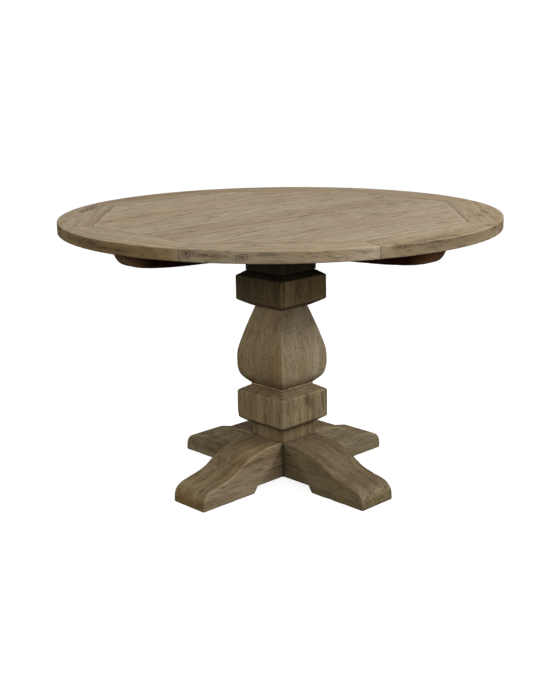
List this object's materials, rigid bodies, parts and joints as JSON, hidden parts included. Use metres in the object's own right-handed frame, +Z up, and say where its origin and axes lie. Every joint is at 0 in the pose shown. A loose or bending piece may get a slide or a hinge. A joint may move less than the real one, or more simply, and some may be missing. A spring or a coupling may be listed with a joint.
{
  "type": "round pedestal dining table",
  "caption": "Round wooden dining table with a planked, rimmed top on a square vase-shaped pedestal with ogee feet.",
  "frame": {"origin": "on the floor, under the column's axis", "axes": "+Z up; the bearers and the feet run along X and Y, and the field's planks run along X"},
  "size_m": [1.212, 1.212, 0.762],
  "materials": {
    "weathered_oak_field": "pale grey-brown weathered oak, dry matt finish, open grain along the planks",
    "weathered_oak_rim": "pale grey-brown weathered oak, dry matt finish, grain along each rim board",
    "weathered_oak_base": "darker grey-brown weathered oak, wire brushed, worn on its edges",
    "weathered_oak_bearers": "dark brown oak, plainly sawn, matt",
    "plain_hardwood": "plain unfinished hardwood",
    "zinc_plated_steel": "zinc plated",
    "black_steel": "matt black powder coat"
  },
  "bodies": {
    "root": {"base_post": "weathered_oak_base", "bearer_x": "weathered_oak_bearers", "bearer_y": "weathered_oak_bearers", "collar_plate": "weathered_oak_base", "column_dowel_1": "plain_hardwood", "column_dowel_2": "plain_hardwood", "column_dowel_3": "plain_hardwood", "column_dowel_4": "plain_hardwood", "field_plank_1": "weathered_oak_field", "field_plank_2": "weathered_oak_field", "field_plank_3": "weathered_oak_field", "field_plank_4": "weathered_oak_field", "field_plank_5": "weathered_oak_field", "field_plank_6": "weathered_oak_field", "field_plank_7": "weathered_oak_field", "field_plank_8": "weathered_oak_field", "foot_back": "weathered_oak_base", "foot_front": "weathered_oak_base", "foot_left": "weathered_oak_base", "foot_plate": "black_steel", "foot_right": "weathered_oak_base", "lower_block": "weathered_oak_base", "mitre_spline_1": "plain_hardwood", "mitre_spline_2": "plain_hardwood", "mitre_spline_3": "plain_hardwood", "mitre_spline_4": "plain_hardwood", "mitre_spline_5": "plain_hardwood", "mitre_spline_6": "plain_hardwood", "mitre_spline_7": "plain_hardwood", "mitre_spline_8": "plain_hardwood", "neck": "weathered_oak_base", "plate_screw_1": "zinc_plated_steel", "plate_screw_2": "zinc_plated_steel", "plate_screw_3": "zinc_plated_steel", "plate_screw_4": "zinc_plated_steel", "rim_segment_1": "weathered_oak_rim", "rim_segment_2": "weathered_oak_rim", "rim_segment_3": "weathered_oak_rim", "rim_segment_4": "weathered_oak_rim", "rim_segment_5": "weathered_oak_rim", "rim_segment_6": "weathered_oak_rim", "rim_segment_7": "weathered_oak_rim", "rim_segment_8": "weathered_oak_rim", "tie_nut_lower": "zinc_plated_steel", "tie_nut_upper": "zinc_plated_steel", "tie_rod": "zinc_plated_steel", "top_screw_1": "zinc_plated_steel", "top_screw_2": "zinc_plated_steel", "top_screw_3": "zinc_plated_steel", "top_screw_4": "zinc_plated_steel", "top_screw_5": "zinc_plated_steel", "top_screw_6": "zinc_plated_steel", "top_screw_7": "zinc_plated_steel", "top_screw_8": "zinc_plated_steel", "upper_block": "weathered_oak_base", "vase": "weathered_oak_base"}
  },
  "joints": []
}
